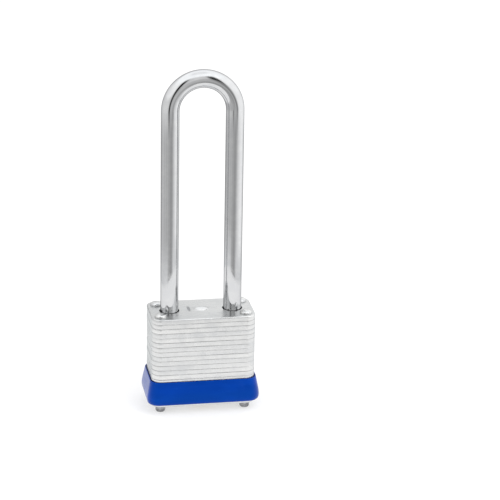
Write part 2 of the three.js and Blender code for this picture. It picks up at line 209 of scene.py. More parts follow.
def cut_away(obj, cutters):
    """Takes the cutters out of obj's mesh and removes them."""
    for mod in list(obj.modifiers):
        obj.modifiers.remove(mod)
    for cutter in cutters:
        mod = obj.modifiers.new("cut", "BOOLEAN")
        mod.operation = "DIFFERENCE"
        mod.solver = "EXACT"
        mod.object = cutter
        bpy.context.view_layer.update()
        graph = bpy.context.evaluated_depsgraph_get()
        made = bpy.data.meshes.new_from_object(obj.evaluated_get(graph))
        obj.modifiers.remove(mod)
        obj.data = made
        bpy.data.objects.remove(cutter)
    bm = bmesh.new()
    bm.from_mesh(obj.data)
    bmesh.ops.remove_doubles(bm, verts=bm.verts, dist=2e-7)
    bmesh.ops.dissolve_degenerate(bm, edges=bm.edges, dist=1e-7)
    bm.to_mesh(obj.data)
    bm.free()


def add_bevel(obj, width, segments=3, angle=30.0):
    mod = obj.modifiers.new("bevel", "BEVEL")
    mod.width = width * MM
    mod.segments = segments
    mod.limit_method = "ANGLE"
    mod.angle_limit = math.radians(angle)


def quads(a, b):
    """The faces between two loops of the same length."""
    n = len(a)
    return [(a[i], a[(i + 1) % n], b[(i + 1) % n], b[i]) for i in range(n)]


def add_ring(verts, centre, u, v, radius, sides):
    """Adds a circle of points in the plane of u and v, and returns their numbers."""
    start = len(verts)
    for k in range(sides):
        a = TAU * k / sides
        verts.append(tuple(centre + u * math.cos(a) * radius + v * math.sin(a) * radius))
    return list(range(start, len(verts)))


def tube_faces(rings):
    """The skin along a row of rings, with a flat cap at each end."""
    faces = []
    for a, b in zip(rings, rings[1:]):
        faces += quads(a, b)
    return faces + [tuple(reversed(rings[0])), tuple(rings[-1])]


def lathe(name, profile, mat, sides=48, centre=(0, 0, 0), axis="Z", sharp=35.0, wobble=0.0):
    """A solid of revolution from [radius, height] points; the first and last lie on the axis.

    wobble is how far a hammered surface strays from round.
    """
    verts, faces, rings = [], [], []
    for r, h in profile:
        start = len(verts)
        if r < 1e-6:
            verts.append((0, 0, h))
        else:
            for i in range(sides):
                a = TAU * i / sides
                place = Vector((math.cos(a) * r, math.sin(a) * r, h)) * 1.3 + Vector(centre)
                reach = r + wobble * noise.noise(place) if wobble else r
                verts.append((reach * math.cos(a), reach * math.sin(a), h))
        rings.append(list(range(start, len(verts))))
    for lo, hi in zip(rings, rings[1:]):
        if len(lo) == 1:
            faces += [(lo[0], hi[(i + 1) % sides], hi[i]) for i in range(sides)]
        elif len(hi) == 1:
            faces += [(lo[i], lo[(i + 1) % sides], hi[0]) for i in range(sides)]
        else:
            faces += quads(lo, hi)
    turns = {"X": (math.pi / 2, "Y"), "Y": (-math.pi / 2, "X"), "Z": (0.0, "Z")}
    angle, about = turns[axis]
    turn = Matrix.Rotation(angle, 3, about)
    verts = [tuple(turn @ Vector(v) + Vector(centre)) for v in verts]
    return make_object(name, verts, faces, mat, sharp=sharp)


def uneven(x, y, z, seed, wave):
    """A point of a sheared wall, moved in or out by a little noise."""
    dx = wave * noise.noise(Vector((x * 0.5, y * 0.5, z * 3 + seed)))
    dy = wave * noise.noise(Vector((y * 0.4, x * 0.35, z * 3 - seed)))
    return (x + dx if x > 0 else x - dx), (y + dy if y > 0 else y - dy)


def sheet_solid(name, outer, holes, low, high, mat, r_out=(0.12, 0.18), r_hole=(0.08, 0.08),
                features=(), shift=(0.0, 0.0), steps=4, wave=0.0):
    """A flat plate with rounded edges.

    outer and each hole are functions of how far their loop is moved out. features are
    (loop function, [(grow, rise), ...]) pairs that rise from or sink into the top face. wave is
    how far the outer wall strays from its outline.
    """
    verts, faces = [], []

    def add_loop(points, z):
        start = len(verts)
        verts.extend((x + shift[0], y + shift[1], z) for x, y in points)
        return list(range(start, len(verts)))

    bottoms, tops = [], []
    for outline, sign, radii in [(outer, -1, r_out)] + [(hole, 1, r_hole) for hole in holes]:
        loops = []
        for inset, z in edge_profile(low, high, *radii, steps):
            points = outline(sign * inset)
            if wave and outline is outer:
                points = [uneven(x, y, z, low, wave) for x, y in points]
            loops.append(add_loop(points, z))
        for a, b in zip(loops, loops[1:]):
            faces += quads(a, b)
        bottoms.append(loops[0])
        tops.append(loops[-1])
    for outline, rises in features:
        loops = [add_loop(outline(grow), high + rise) for grow, rise in rises]
        for a, b in zip(loops, loops[1:]):
            faces += quads(a, b)
        tops.append(loops[0])
        faces.append(tuple(loops[-1]))
    for rim in (bottoms, tops):
        numbers = [i for loop in rim for i in loop]
        flat = [[Vector((verts[i][0], verts[i][1], 0)) for i in loop] for loop in rim]
        for triangle in tessellate_polygon(flat):
            faces.append(tuple(numbers[k] for k in triangle))
    return make_object(name, verts, faces, mat)


def ring_solid(name, section, mat, n=16, straight=20):
    """A ring round the case from a closed section of (offset from the case, z) points."""
    verts, loops = [], []
    for offset, z in section:
        start = len(verts)
        w, d, corner = WIDTH + 2 * offset, DEPTH + 2 * offset, CORNER + 0.3 * offset
        verts.extend((x, y, z) for x, y in rounded_rect(w, d, corner, n, straight))
        loops.append(list(range(start, len(verts))))
    faces = []
    for a, b in zip(loops, loops[1:] + loops[:1]):
        faces += quads(a, b)
    return make_object(name, verts, faces, mat)


def coil_piece(name, radius, wire, length, turns, place, steps=26, sides=10):
    """A coil spring from the origin up +Z with closed end coils, put in place by a matrix."""
    dead, climb = 0.75, 1.1 * wire  # the turns in each closed end, and how far an end rises
    total = int(turns * steps)
    path = []
    for i in range(total + 1):
        u = i / total * turns
        if u < dead:
            z = wire + u / dead * climb
        elif u > turns - dead:
            z = length - wire - (turns - u) / dead * climb
        else:
            z = wire + climb + (u - dead) / (turns - 2 * dead) * (length - 2 * (wire + climb))
        a = TAU * u
        path.append(Vector((radius * math.cos(a), radius * math.sin(a), z)))
    verts, rings = [], []
    for i, p in enumerate(path):
        tangent = (path[min(i + 1, total)] - path[max(i - 1, 0)]).normalized()
        up = tangent.cross(Vector((p.x, p.y, 0)).normalized()).normalized()
        out = up.cross(tangent).normalized()
        rings.append(add_ring(verts, p, out, up, wire, sides))
    verts = [tuple(place @ Vector(v)) for v in verts]
    return make_object(name, verts, tube_faces(rings), SPRING, weighted=False)


def rod_piece(name, path, mat, sides=64):
    """A round bar in the XZ plane; path is a list of (centre, tangent, radius)."""
    verts, rings = [], []
    side = Vector((0, 1, 0))
    for centre, tangent, radius in path:
        out = side.cross(tangent).normalized()
        rings.append(add_ring(verts, centre, out, side, radius, sides))
    return make_object(name, verts, tube_faces(rings), mat, sharp=32)


def cylinder_cutter(name, radius, a, b, sides=32):
    """A plain cylinder from point a to point b."""
    a, b = Vector(a), Vector(b)
    along = (b - a).normalized()
    u = along.cross(Vector((0, 0, 1))).normalized()
    v = along.cross(u).normalized()
    verts = []
    rings = [add_ring(verts, end, u, v, radius, sides) for end in (a, b)]
    return make_object(name, verts, tube_faces(rings), None, weighted=False)


def prism_piece(name, points, low, high, mat=None):
    """An outline in the XY plane, drawn up from one height to another."""
    n = len(points)
    verts = [(x, y, low) for x, y in points] + [(x, y, high) for x, y in points]
    bottom, top = list(range(n)), list(range(n, 2 * n))
    faces = [tuple(reversed(bottom)), tuple(top)] + quads(bottom, top)
    return make_object(name, verts, faces, mat, weighted=False)


def box_piece(name, lo, hi, mat=None):
    points = [(lo[0], lo[1]), (hi[0], lo[1]), (hi[0], hi[1]), (lo[0], hi[1])]
    return prism_piece(name, points, lo[2], hi[2], mat)


# ------------------------------------------------------------------ materials


class Nodes:
    """A short way to build a node material."""

    def __init__(self, name):
        self.mat = bpy.data.materials.new(name)
        self.mat.use_nodes = True
        self.tree = self.mat.node_tree
        self.bsdf = self.tree.nodes["Principled BSDF"]
        self.coords = self.tree.nodes.new("ShaderNodeTexCoord").outputs["Object"]

    def node(self, kind, **values):
        n = self.tree.nodes.new(kind)
        for key, value in values.items():
            if hasattr(n, key):
                setattr(n, key, value)
            else:
                n.inputs[key.replace("_", " ")].default_value = value
        return n

    def link(self, a, b):
        self.tree.links.new(a, b)

    def feed(self, sockets, sources):
        """Sets each socket to a number or colour, or joins it to another node's output."""
        for socket, source in zip(sockets, sources):
            if isinstance(source, (int, float)):
                socket.default_value = source
            elif isinstance(source, tuple):
                socket.default_value = (*source, 1)
            else:
                self.link(source, socket)

    def xyz(self):
        split = self.node("ShaderNodeSeparateXYZ")
        self.link(self.coords, split.inputs[0])
        return split.outputs

    def scaled(self, scale, rotate=(0, 0, 0)):
        m = self.node("ShaderNodeMapping")
        m.inputs["Scale"].default_value = scale
        m.inputs["Rotation"].default_value = rotate
        self.link(self.coords, m.inputs["Vector"])
        return m.outputs["Vector"]

    def noise(self, scale, vector=None, detail=4.0, rough=0.55):
        n = self.node("ShaderNodeTexNoise", Scale=scale, Detail=detail, Roughness=rough)
        self.link(vector or self.coords, n.inputs["Vector"])
        return n.outputs["Fac"]

    def ramp(self, value, low, high, to_low, to_high):
        n = self.node("ShaderNodeMapRange", clamp=True, interpolation_type="SMOOTHSTEP")
        self.link(value, n.inputs["Value"])
        for key, v in (("From Min", low), ("From Max", high), ("To Min", to_low), ("To Max", to_high)):
            n.inputs[key].default_value = v
        return n.outputs["Result"]

    def calc(self, op, a, b=0.0):
        n = self.node("ShaderNodeMath", operation=op)
        self.feed(n.inputs, (a, b))
        return n.outputs[0]

    def mix(self, fac, a, b):
        n = self.node("ShaderNodeMix", data_type="RGBA")
        self.link(fac, n.inputs["Factor"])
        self.feed((n.inputs[6], n.inputs[7]), (a, b))
        return n.outputs[2]

    def mix_value(self, fac, a, b):
        n = self.node("ShaderNodeMix", data_type="FLOAT")
        self.link(fac, n.inputs[0])
        self.feed((n.inputs[2], n.inputs[3]), (a, b))
        return n.outputs[0]

    def bump(self, height, strength, distance):
        n = self.node("ShaderNodeBump", Strength=strength, Distance=distance)
        self.link(height, n.inputs["Height"])
        return n.outputs["Normal"]

    def near(self, centre, reach, fade):
        """1 inside an ellipsoid given in millimetres, fading to 0 at its surface."""
        n = self.node("ShaderNodeVectorMath", operation="DISTANCE")
        self.link(self.scaled([1 / (r * MM) for r in reach]), n.inputs[0])
        n.inputs[1].default_value = [c / r for c, r in zip(centre, reach)]
        return self.ramp(n.outputs["Value"], 1.0 - fade, 1.0, 1.0, 0.0)

    def level_face(self):
        """1 on faces that look up or down, 0 on walls."""
        normal = self.node("ShaderNodeNewGeometry").outputs["Normal"]
        split = self.node("ShaderNodeSeparateXYZ")
        self.link(normal, split.inputs[0])
        return self.ramp(self.calc("ABSOLUTE", split.outputs["Z"]), 0.55, 0.85, 0.0, 1.0)

    def scratches(self, stretch, rotate, width):
        """Fine straight marks: 1 on a mark, 0 elsewhere."""
        cells = self.noise(1.0, self.scaled(stretch, rotate), detail=2.0, rough=0.4)
        off = self.calc("ABSOLUTE", self.calc("SUBTRACT", cells, 0.5))
        return self.ramp(off, 0.0, width, 1.0, 0.0)

    def out(self, color, roughness, normal, **values):
        """Joins the shader's main sockets, sets its plain values and returns the material."""
        for socket, source in (("Base Color", color), ("Roughness", roughness), ("Normal", normal)):
            if source is not None:
                self.link(source, self.bsdf.inputs[socket])
        for key, v in values.items():
            self.bsdf.inputs[key.replace("_", " ")].default_value = v
        return self.mat


def joint_dirt(n):
    """1 in the joints between the plates, thicker in some places than in others."""
    turns = n.calc("MULTIPLY", n.calc("SUBTRACT", n.xyz()["Z"], FOOT * MM), 1 / (PITCH * MM))
    away = n.calc("SUBTRACT", n.calc("FRACT", n.calc("ADD", turns, 0.5)), 0.5)
    joint = n.ramp(n.calc("ABSOLUTE", away), 0.02, 0.12, 1.0, 0.0)
    patches = n.noise(1.0, n.scaled((45, 45, 733)), detail=2.0, rough=0.5)
    return n.calc("MULTIPLY", joint, n.ramp(patches, 0.38, 0.64, 0.0, 0.85))


def plate_steel():
    n = Nodes("plate_steel")
    # Grain left by shearing and tumbling: along the plates on the walls, along X on the faces.
    wall = n.noise(1.0, n.scaled((90, 90, 9000)), detail=5.0, rough=0.62)
    shear = n.noise(1.0, n.scaled((1500, 1500, 1100)), detail=3.0, rough=0.5)
    face = n.noise(1.0, n.scaled((160, 3600, 400)), detail=4.0, rough=0.6)
    is_level = n.level_face()
    grain = n.mix_value(is_level, wall, face)
    blotch = n.noise(260.0, detail=3.0, rough=0.6)
    tone = n.noise(1.0, n.scaled((26, 26, 733)), detail=1.0, rough=0.4)
    pits = n.ramp(n.noise(2600.0, detail=2.0), 0.66, 0.74, 0.0, 1.0)
    marks = n.scratches((240, 240, 1900), (0.5, 0.3, 0.2), 0.012)
    rough = n.calc("ADD", n.ramp(grain, 0.3, 0.7, 0.20, 0.40), n.ramp(blotch, 0.35, 0.7, -0.04, 0.09))
    shade = n.calc("ADD", n.calc("MULTIPLY", grain, 0.5), n.calc("MULTIPLY", tone, 0.5))
    shade = n.ramp(shade, 0.36, 0.62, 0.0, 1.0)
    color = n.mix(shade, (0.645, 0.65, 0.653), (0.745, 0.745, 0.738))
    color = n.mix(n.ramp(blotch, 0.45, 0.75, 0.0, 0.35), color, (0.60, 0.615, 0.63))
    dirt = n.calc("MULTIPLY", joint_dirt(n), n.calc("SUBTRACT", 1.0, is_level))
    color = n.mix(dirt, color, (0.26, 0.26, 0.265))
    # The raised oval is painted bright as a painted highlight.
    painted_boss_highlight = n.near((*BOSS, CASE_TOP + 0.25), (2.05, 1.5, 0.8), 0.45)
    # The stamped line beside it is painted dark as a painted shade in its recess.
    painted_mark_shade = n.near((*MARK, CASE_TOP), (0.5, 2.4, 0.5), 0.4)
    color = n.mix(painted_boss_highlight, color, (0.90, 0.905, 0.91))
    color = n.mix(painted_mark_shade, color, (0.42, 0.425, 0.435))
    height = n.calc("ADD", n.calc("MULTIPLY", grain, 0.6), n.calc("MULTIPLY", shear, 0.4))
    height = n.calc("SUBTRACT", height, n.calc("MULTIPLY", pits, 0.6))
    height = n.calc("SUBTRACT", height, n.calc("MULTIPLY", marks, 0.35))
    bump = n.bump(height, 0.22, 0.00002)
    return n.out(color, rough, bump, Metallic=1.0, Specular_Tint=(0.72, 0.74, 0.75, 1))


def rivet_steel():
    n = Nodes("rivet_steel")
    dents = n.noise(1100.0, detail=3.0, rough=0.6)
    fine = n.noise(5200.0, detail=2.0)
    rough = n.calc("ADD", n.ramp(dents, 0.3, 0.7, 0.16, 0.34), n.ramp(fine, 0.3, 0.7, -0.03, 0.05))
    color = n.mix(n.ramp(dents, 0.35, 0.65, 0.0, 1.0), (0.58, 0.59, 0.60), (0.74, 0.74, 0.73))
    # The feet below the case are darkened towards the bottom as painted shade.
    foot = n.ramp(n.xyz()["Z"], (FOOT - 0.6) * MM, FOOT * MM, 1.0, 0.0)
    painted_foot_shade = n.calc("MULTIPLY", foot, n.ramp(dents, 0.35, 0.6, 0.55, 1.0))
    color = n.mix(painted_foot_shade, color, (0.22, 0.22, 0.23))
    height = n.calc("ADD", dents, n.calc("MULTIPLY", fine, 0.3))
    return n.out(color, rough, n.bump(height, 0.4, 0.00005), Metallic=1.0)


def chrome():
    n = Nodes("chrome")
    wave = n.noise(55.0, detail=1.0, rough=0.3)
    haze = n.noise(420.0, detail=4.0, rough=0.6)
    hair = n.scratches((2600, 2600, 60), (0.05, 0.04, 0.0), 0.01)
    rings = n.scratches((120, 120, 5200), (0.1, 0.06, 0.3), 0.01)
    marks = n.calc("MAXIMUM", hair, n.calc("MULTIPLY", rings, 0.6))
    rough = n.calc("ADD", n.ramp(haze, 0.35, 0.75, 0.035, 0.10), n.calc("MULTIPLY", marks, 0.06))
    height = n.calc("SUBTRACT", wave, n.calc("MULTIPLY", marks, 0.02))
    color = n.mix(n.ramp(haze, 0.4, 0.7, 0.0, 1.0), (0.61, 0.615, 0.625), (0.65, 0.655, 0.66))
    # Where the legs leave the case, dark streaks are painted in as a painted reflection of the hole's
    # edge and the gap round the leg.
    painted_reflection_streak = n.noise(1.0, n.scaled((1300, 1300, 110)), detail=2.0, rough=0.6)
    limit = n.ramp(n.xyz()["Z"], CASE_TOP * MM, (CASE_TOP + 1.9) * MM, 0.50, 0.95)
    painted_reflection_streak = n.ramp(n.calc("SUBTRACT", painted_reflection_streak, limit), 0.0, 0.05, 0.0, 1.0)
    color = n.mix(painted_reflection_streak, color, (0.12, 0.12, 0.125))
    bump = n.bump(height, 0.06, 0.0002)
    return n.out(color, rough, bump, Metallic=1.0, Specular_Tint=(0.42, 0.42, 0.43, 1))


def blue_plastic():
    n = Nodes("blue_plastic")
    flow = n.noise(1.0, n.scaled((70, 70, 260)), detail=2.0, rough=0.5)
    grain = n.noise(4200.0, detail=3.0, rough=0.6)
    scuff = n.noise(340.0, detail=5.0, rough=0.7)
    marks = n.scratches((260, 260, 1500), (0.3, 0.2, 0.5), 0.008)
    flow = n.ramp(flow, 0.3, 0.7, 0.0, 1.0)
    color = n.mix(flow, (0.001, 0.029, 0.255), (0.0015, 0.037, 0.320))
    color = n.mix(n.ramp(scuff, 0.58, 0.85, 0.0, 0.2), color, (0.02, 0.06, 0.36))
    rough = n.calc("ADD", n.ramp(scuff, 0.3, 0.75, 0.15, 0.26), n.calc("MULTIPLY", marks, 0.10))
    height = n.calc("SUBTRACT", n.calc("MULTIPLY", grain, 0.35), n.calc("MULTIPLY", marks, 0.25))
    bump = n.bump(height, 0.2, 0.00002)
    return n.out(color, rough, bump, Metallic=0.0, IOR=1.6, Specular_Tint=(0.04, 0.35, 1.0, 1))


def brass():
    n = Nodes("brass")
    lines = n.noise(1.0, n.scaled((300, 300, 8000)), detail=3.0)
    patina = n.noise(520.0, detail=4.0, rough=0.65)
    fine = n.noise(3800.0, detail=3.0)
    color = n.mix(n.ramp(patina, 0.35, 0.7, 0.0, 1.0), (0.80, 0.58, 0.25), (0.62, 0.43, 0.19))
    rough = n.calc("ADD", n.ramp(patina, 0.3, 0.7, 0.20, 0.38), n.ramp(fine, 0.3, 0.7, -0.03, 0.05))
    height = n.calc("ADD", n.calc("MULTIPLY", lines, 0.6), n.calc("MULTIPLY", fine, 0.3))
    return n.out(color, rough, n.bump(height, 0.3, 0.00003), Metallic=1.0)


def dull_steel(name, dark, light, r0, r1):
    n = Nodes(name)
    mottle = n.noise(700.0, detail=4.0, rough=0.6)
    fine = n.noise(1.0, n.scaled((400, 400, 6000)), detail=3.0)
    color = n.mix(n.ramp(mottle, 0.35, 0.7, 0.0, 1.0), dark, light)
    rough = n.calc("ADD", n.ramp(mottle, 0.3, 0.7, r0, r1), n.ramp(fine, 0.3, 0.7, -0.03, 0.05))
    return n.out(color, rough, n.bump(n.calc("ADD", mottle, fine), 0.3, 0.00003), Metallic=1.0)


STEEL = plate_steel()
RIVET = rivet_steel()
CHROME = chrome()
BLUE = blue_plastic()
BRASS = brass()
SPRING = dull_steel("spring_steel", (0.36, 0.37, 0.39), (0.52, 0.53, 0.55), 0.22, 0.34)
LEVER = dull_steel("lever_steel", (0.30, 0.31, 0.32), (0.46, 0.47, 0.48), 0.36, 0.52)

# ------------------------------------------------------------------ pieces and the CAD frame


def keep_as(obj, node, body):
    """obj stands for a CAD node and moves with its body."""
    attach(obj, body)
    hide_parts(node)


def stretch_as(obj, node):
    """obj stands for a spring in the case; its place is baked into its mesh."""
    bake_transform(obj)
    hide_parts(node)


# ------------------------------------------------------------------ case plates

# (grow, rise) from the top plate's face.
BOSS_RISES = [(0.25, 0.0), (0.12, 0.02), (0.03, 0.08), (-0.02, 0.14), (-0.12, 0.19), (-0.30, 0.22),
              (-0.60, 0.24), (-0.95, 0.247)]
MARK_RISES = [(0.05, 0.0), (0.0, -0.03), (-0.06, -0.11), (-0.16, -0.15)]


def boss_outline(grow):
    return ellipse(*BOSS, 2.0 + grow, 1.35 + grow)


def mark_outline(grow):
    return ellipse(*MARK, 0.30 + grow, 2.2 + grow, n=48, turn=2)


def plate_holes(index):
    """The same cut-outs as the plate's solid, as loop functions of how far the wall is moved out."""
    def hole(x, y, r, n=48):
        return lambda grow: circle(x, y, r + grow, n)

    rivets = [hole(sx * RIVET_X, sy * RIVET_Y, RIVET_HOLE, 28) for _, sx, sy in CORNERS]
    heel, toe = hole(HEEL_X, 0, LEG_HOLE), hole(TOE_X, 0, LEG_HOLE)
    pivots = [hole(side * PIVOT_X, -side * PIVOT_Y, PIVOT_HOLE, 24) for side in (1, -1)]
    if index == 0:
        return rivets + [hole(0, PLUG_Y, NOSE_HOLE, 64)]
    if index < TOE_FLOOR:
        return rivets + [keyhole, hole(HEEL_X, 0, CLIP_HOLE)]
    if index == TOE_FLOOR:
        return rivets + [keyhole, hole(HEEL_X, 0, CLIP_HOLE), toe]
    if index == STOP:
        return rivets + [heel, toe] + pivots + [hole(0, PLUG_Y, CAM_HOLE)]
    if index in LEVER_ROOM:
        return rivets + [lever_room]
    if index == PIVOT_CAP:
        return rivets + [heel, toe] + pivots
    return rivets + [heel, toe]


def plate_name(index):
    if index == 0:
        return "bottom_plate"
    return "top_plate" if index == PLATES - 1 else f"plate_{index + 1:02d}"


def case_plate(index):
    """One pressed plate; all but the outer two sit and are sheared a little unevenly."""
    name, low, high = plate_name(index), level(index), level(index + 1)
    shift = (random.uniform(-0.03, 0.03), random.uniform(-0.03, 0.03)) if index else (0, 0)
    size = random.uniform(-0.05, 0.0)
    edges = (random.uniform(0.06, 0.10), random.uniform(0.10, 0.17))
    hole_edges, features, steps = (0.06, 0.06), [], 4
    if index == PLATES - 1:
        shift, size, edges = (0, 0), 0.0, (0.06, 0.34)
        hole_edges, steps = (0.1, 0.14), 5
        features = [(boss_outline, BOSS_RISES), (mark_outline, MARK_RISES)]
    plate = sheet_solid(
        f"{name}_steel", lambda grow: case_outline(grow + size, straight=14), plate_holes(index),
        low, high, STEEL, r_out=edges, r_hole=hole_edges, features=features, shift=shift,
        steps=steps, wave=0.02)
    keep_as(plate, name, "case")


for index in range(PLATES):
    case_plate(index)

# ------------------------------------------------------------------ rivets


def rivet_profile(seed):
    """A peened foot, the shank and a low dome, each rivet hammered a little differently."""
    rnd = random.Random(seed)
    rise = RIVET_RISE + rnd.uniform(-0.06, 0.0)
    head = RIVET_HEAD + rnd.uniform(-0.05, 0.0)
    foot = [(0, 0.05), (0.35, 0.03), (0.8, 0.0), (0.98, 0.02), (1.14, 0.09), (1.27, 0.22),
            (1.35, 0.40), (1.40, 0.65), (1.40, FOOT - 0.14), (1.36, FOOT - 0.04),
            (1.28, FOOT - 0.01), (1.12, FOOT)]
    rim = [(1.12, CASE_TOP + 0.005), (head - 0.04, CASE_TOP + 0.005), (head, CASE_TOP + 0.05),
           (head, CASE_TOP + 0.10)]
    dome = []
    for i in range(1, 9):
        a = math.pi / 2 * i / 8
        reach = head * math.cos(a) ** 0.8 if i < 8 else 0
        dome.append((reach, CASE_TOP + 0.10 + (rise - 0.10) * math.sin(a)))
    return foot + rim + dome


for k, (corner, sx, sy) in enumerate(CORNERS):
    rivet = lathe(f"rivet_{corner}_peened", rivet_profile(k + 3), RIVET, sides=44,
                  centre=(sx * RIVET_X, sy * RIVET_Y, 0), sharp=50, wobble=0.035)
    keep_as(rivet, f"rivet_{corner}", "case")

# ------------------------------------------------------------------ bumper


def bumper_section():
    """(offset from the case, z) round the skirt's wall, starting low on the inside."""
    foot = [(0.14, 0.35), (0.28, 0.08), (0.50, 0.0), (0.76, 0.03), (0.97, 0.13), (1.12, 0.32),
            (1.22, 0.62), (1.28, 1.0), (1.30, 1.4)]
    wall = [(1.28, 4.9), (1.21, 5.5), (1.10, 6.2), (0.97, 6.9), (0.83, 7.6), (0.69, 8.3),
            (0.56, 8.95), (0.49, 9.30)]
    lip = [(0.44, 9.50), (0.37, 9.61), (0.29, BUMPER_HIGH), (0.21, 9.61), (0.16, 9.50), (0.14, 9.3)]
    return [(offset, BUMPER_LOW + rise) for offset, rise in foot] + wall + lip


keep_as(ring_solid("bumper_moulding", bumper_section(), BLUE), "bumper", "case")

# ------------------------------------------------------------------ shackle


def shackle_path():
    """The rod from the heel's end up, over the bow and down to the toe's end."""
    up, down = Vector((0, 0, 1)), Vector((0, 0, -1))
    neck_low, neck_high = LEVER_FLOOR - TRAVEL - 0.1, LEVER_ROOF - TRAVEL + 0.1
    groove_low, groove_high = CLIP_TOP - 0.9, CLIP_TOP + 0.1
    heel = [(HEEL_END, 2.0), (HEEL_END + 0.12, 2.3), (HEEL_END + 0.3, 2.46), (HEEL_END + 0.45, ROD),
            (groove_low - 0.01, ROD), (groove_low, 1.65), (groove_high, 1.65),
            (groove_high + 0.01, ROD), (neck_low - 0.35, ROD), (neck_low + 0.05, 1.6),
            (neck_low + 0.2, 1.42), (neck_high - 0.2, 1.42), (neck_high - 0.05, 1.6),
            (neck_high, ROD - 0.4), (neck_high + 0.02, ROD)]
    start, run = neck_high + 0.4, BEND_BASE - neck_high - 0.8
    heel += [(start + run * i / 9, ROD) for i in range(10)]
    path = [(Vector((HEEL_X, 0, z)), up, r) for z, r in heel]
    steps = 96
    for i in range(steps + 1):
        a = math.pi * (1 - i / steps)
        centre = Vector((TOE_X * math.cos(a), 0, BEND_BASE + TOE_X * math.sin(a)))
        path.append((centre, Vector((math.sin(a), 0, -math.cos(a))), ROD))
    start, run = BEND_BASE - 0.4, TOE_END + 1.0 - BEND_BASE + 0.4
    toe = [(start + run * i / 9, ROD) for i in range(10)]
    toe += [(TOE_END + 0.55, ROD), (TOE_END + 0.42, 2.48), (TOE_END + 0.22, 2.36),
            (TOE_END + 0.08, 2.16), (TOE_END, 1.9)]
    return path + [(Vector((TOE_X, 0, z)), down, r) for z, r in toe]


def notch_cutter(side):
    """A block with sloped lips, as a milled notch has."""
    inner, middle, face = side * 4.5, side * 6.35, side * 7.45
    low, high = LEVER_FLOOR - 0.1, LEVER_ROOF + 0.1
    outline = [(inner, low - 0.25), (middle, low - 0.25), (face, low + 0.25), (face, high - 0.25),
               (middle, high + 0.2), (inner, high + 0.2)]
    n = len(outline)
    verts = [(x, -4.0, z) for x, z in outline] + [(x, 4.0, z) for x, z in outline]
    front, rear = list(range(n)), list(range(n, 2 * n))
    faces = [tuple(front), tuple(reversed(rear))] + quads(front, rear)
    return make_object(f"cut_{side}", verts, faces, None, weighted=False)


shackle = rod_piece("shackle_chromed", shackle_path(), CHROME)
cut_away(shackle, [notch_cutter(-1), notch_cutter(1)])
finish_shading(shackle, 32)
keep_as(shackle, "shackle", "shackle")


def clip_outline(grow):
    """A split ring that opens towards +X."""
    outer, inner, gap = 3.0 + grow, 1.8 - grow, 1.2 - grow
    a_outer = math.degrees(math.asin(gap / outer))
    a_inner = math.degrees(math.asin(gap / inner))
    rim = arc(HEEL_X, 0, outer, a_outer, 360 - a_outer, 60)
    return rim + arc(HEEL_X, 0, inner, 360 - a_inner, a_inner, 40)


clip = sheet_solid("shackle_clip_ring", clip_outline, [], CLIP_TOP - CLIP_THICK, CLIP_TOP, SPRING,
                   r_out=(0.08, 0.08))
keep_as(clip, "shackle_clip", "shackle")

spring_low, spring_high = level(1) + 0.05, HEEL_END - 0.05
spring = coil_piece("shackle_spring_coil", 1.9, 0.22, spring_high - spring_low, 6,
                    Matrix.Translation((HEEL_X, 0, spring_low)), steps=36)
stretch_as(spring, "shackle_spring")

# ------------------------------------------------------------------ cylinder


def shell_outline(grow):
    return keyhole(grow - 0.15)


def shell_bore(grow):
    return circle(0, PLUG_Y, 3.6 + grow, 64)


shell = sheet_solid("cylinder_shell_turned", shell_outline, [shell_bore], SHELL_LOW, SHELL_HIGH, BRASS,
                    r_out=(0.15, 0.15), r_hole=(0.1, 0.1))
cutters = [box_piece("cut_slot", (-1.55, CHAMBER_BACK, SHELL_LOW - 1), (1.55, 8, SHELL_HIGH + 1))]
for i, z in enumerate(PIN_Z):
    cutters.append(cylinder_cutter(f"cut_chamber_{i}", CHAMBER, (0, PLUG_Y + 1.5, z), (0, 7.5, z)))
cut_away(shell, cutters)
finish_shading(shell)
keep_as(shell, "cylinder_shell", "case")

cover = box_piece("chamber_cover_strip", (-1.45, CHAMBER_BACK + 0.05, SHELL_LOW),
                  (1.45, 6.5, SHELL_HIGH), BRASS)
add_bevel(cover, 0.07)
finish_shading(cover)
keep_as(cover, "chamber_cover", "case")

# (radius, height) up a driver, which has a groove round its middle.
DRIVER_PROFILE = [(0, 0), (0.62, 0), (0.76, 0.06), (0.82, 0.2), (0.82, 0.55), (0.66, 0.62),
                  (0.66, 0.9), (0.82, 0.97), (0.82, 1.35), (0.74, 1.46), (0.6, DRIVER_LENGTH),
                  (0, DRIVER_LENGTH)]
TO_REAR = Matrix.Rotation(-math.pi / 2, 4, "X")


def driver_and_spring(i, z):
    driver = lathe(f"driver_pin_{i}_turned", DRIVER_PROFILE, BRASS, sides=28, centre=(0, SHEAR, z),
                   axis="Y")
    keep_as(driver, f"driver_pin_{i}", f"driver_pin_{i}")
    length = CHAMBER_BACK - DRIVER_BACK - 0.1
    coil = coil_piece(f"pin_spring_{i}_coil", 0.62, 0.12, length, 5,
                      Matrix.Translation((0, DRIVER_BACK + 0.05, z)) @ TO_REAR, steps=24, sides=8)
    keep_as(coil, f"pin_spring_{i}", "case")
    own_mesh(coil)


for i, z in enumerate(PIN_Z, start=1):
    driver_and_spring(i, z)

# ------------------------------------------------------------------ plug and key pins

# The keyway and the pin bores are drawn facing +Y, and the open plug is turned to -X.
open_plug = Matrix.Translation((0, PLUG_Y, 0)) @ Matrix.Rotation(math.pi / 2, 4, "Z")


def in_plug(x, y, z=0):
    """Where a point of the plug's drawing stands in the padlock."""
    return tuple(open_plug @ Vector((x, y, z)))


